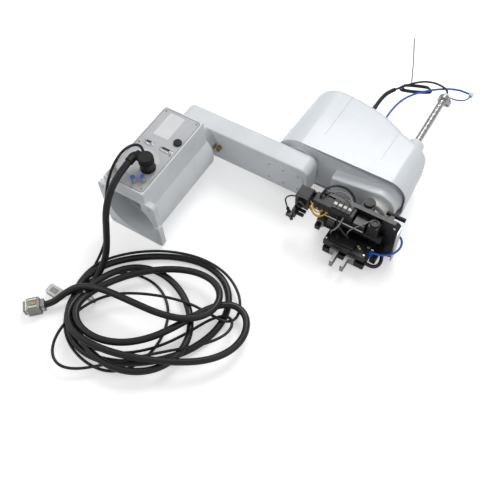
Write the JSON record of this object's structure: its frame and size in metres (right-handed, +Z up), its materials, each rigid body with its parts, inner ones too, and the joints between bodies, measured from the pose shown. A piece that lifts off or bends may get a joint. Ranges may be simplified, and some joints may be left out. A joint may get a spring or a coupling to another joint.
{
  "type": "scara robot",
  "caption": "Four-axis selective-compliance robot arm with a moulded arm cover, a ball screw spline shaft, a pneumatic gripping hand and its coiled cables, lying on its side.",
  "frame": {"origin": "first joint axis where it meets the mounting face of the base flange", "axes": "+X along the straight arms, +Y along the joint axes from the mounting face to the shaft top, +Z up from the surface on which the robot lies"},
  "size_m": [0.7739, 1.3085, 0.2851],
  "materials": {
    "casting_paint": "satin",
    "cover_white": "satin",
    "bare_aluminium": "machined",
    "ground_steel": "ground",
    "bright_metal": "polished",
    "black_anodised": "satin",
    "black_plastic": "matte",
    "white_plastic": "matte",
    "black_rubber": "matte",
    "cable_black": "matte",
    "tube_blue": "gloss",
    "fitting_brass": "satin",
    "bronze": "satin",
    "lamp_red": "gloss",
    "motor_black": "satin",
    "plug_grey": "satin",
    "belt_black": "matte"
  },
  "bodies": {
    "base": {"base_casting": "casting_paint", "connector_panel": "casting_paint", "panel_gasket": "black_rubber", "panel_screws": "ground_steel", "cable_plate": "bare_aluminium", "power_connector": "black_plastic", "power_elbow": "black_plastic", "signal_gland": "black_plastic", "user_connector_9": "bright_metal", "user_connector_15": "bright_metal", "nameplate": "bare_aluminium", "push_fittings": "fitting_brass", "j1_motor": "motor_black", "j1_reducer": "bare_aluminium", "power_cable": "cable_black", "signal_cable": "cable_black", "cable_coil": "cable_black", "coil_tie": "black_plastic", "power_plug": "plug_grey", "signal_plug": "white_plastic"},
    "brake_button": {"brake_button": "black_plastic"},
    "arm_1": {"arm_1_casting": "casting_paint", "arm_1_cover": "casting_paint", "arm_1_screws": "ground_steel", "stop_pin": "bronze", "j2_reducer": "bare_aluminium"},
    "arm_2": {"arm_2_casting": "bare_aluminium", "arm_2_cover": "cover_white", "j2_motor": "motor_black", "j3_motor": "motor_black", "j4_motor": "motor_black", "drive_belts": "belt_black", "spline_seal_ring": "white_plastic", "cover_connector": "black_plastic", "cover_fitting": "fitting_brass", "status_lamp": "lamp_red", "top_cable": "cable_black", "top_hank": "cable_black", "top_tube": "tube_blue", "tube_union": "white_plastic"},
    "screw_nut": {"screw_nut_pulley": "ground_steel"},
    "spline_nut": {"spline_nut_pulley": "ground_steel"},
    "j3_drive": {"j3_motor_pulley": "ground_steel"},
    "j4_drive": {"j4_motor_pulley": "ground_steel"},
    "z_carriage": {"guide_bush": "white_plastic"},
    "z_shaft": {"spline_shaft": "ground_steel", "shaft_top_collar": "ground_steel", "tool_hub": "bare_aluminium", "tool_frame": "black_anodised", "camera_box": "black_anodised", "valve_block": "black_plastic", "turn_motor": "motor_black", "gripper_body": "black_anodised", "tool_brackets": "bare_aluminium", "sensor_probes": "black_plastic", "tool_fittings": "fitting_brass", "tool_cables": "cable_black"},
    "jaw_left": {"jaw_left": "bare_aluminium"},
    "jaw_right": {"jaw_right": "bare_aluminium"}
  },
  "joints": [
    {"name": "j1_turn", "type": "hinge", "parent": "base", "child": "arm_1", "pos_m": [0, 0, 0], "axis": [0, 1, 0], "range_deg": [-62, 242]},
    {"name": "j2_turn", "type": "hinge", "parent": "arm_1", "child": "arm_2", "pos_m": [0.3, 0, 0], "axis": [0, -1, 0], "range_deg": [-130, 130]},
    {"name": "j3_stroke", "type": "slide", "parent": "arm_2", "child": "z_carriage", "axis": [0, -1, 0], "range_m": [0, 0.18]},
    {"name": "j4_turn", "type": "hinge", "parent": "z_carriage", "child": "z_shaft", "pos_m": [0.55, 0, 0], "axis": [0, 1, 0], "range_deg": [-360, 360]},
    {"name": "screw_spin", "type": "hinge", "parent": "arm_2", "child": "screw_nut", "pos_m": [0.55, 0, 0], "axis": [0, 1, 0], "range_deg": [0, 3241]},
    {"name": "j3_motor_spin", "type": "hinge", "parent": "arm_2", "child": "j3_drive", "pos_m": [0.415, 0, -0.03], "axis": [0, 1, 0], "range_deg": [0, 6482]},
    {"name": "spline_spin", "type": "hinge", "parent": "arm_2", "child": "spline_nut", "pos_m": [0.55, 0, 0], "axis": [0, 1, 0], "range_deg": [-361, 361]},
    {"name": "j4_motor_spin", "type": "hinge", "parent": "arm_2", "child": "j4_drive", "pos_m": [0.44, 0, 0.032], "axis": [0, 1, 0], "range_deg": [-721, 721]},
    {"name": "jaw_close", "type": "slide", "parent": "z_shaft", "child": "jaw_left", "axis": [1, 0, 0], "range_m": [0, 0.008]},
    {"name": "jaw_close_right", "type": "slide", "parent": "z_shaft", "child": "jaw_right", "axis": [-1, 0, 0], "range_m": [0, 0.008]},
    {"name": "brake_press", "type": "slide", "parent": "base", "child": "brake_button", "axis": [0, 0, -1], "range_m": [0, 0.003], "stiffness_N_per_m": 800, "springref_m": -0.002}
  ],
  "couplings": [
    {"joint": "screw_spin", "follows": "j3_stroke", "rad_per_m": 314.16},
    {"joint": "j3_motor_spin", "follows": "j3_stroke", "rad_per_m": 628.32},
    {"joint": "spline_spin", "follows": "j4_turn", "ratio": 1},
    {"joint": "j4_motor_spin", "follows": "j4_turn", "ratio": 2},
    {"joint": "jaw_close_right", "follows": "jaw_close", "ratio": 1}
  ]
}
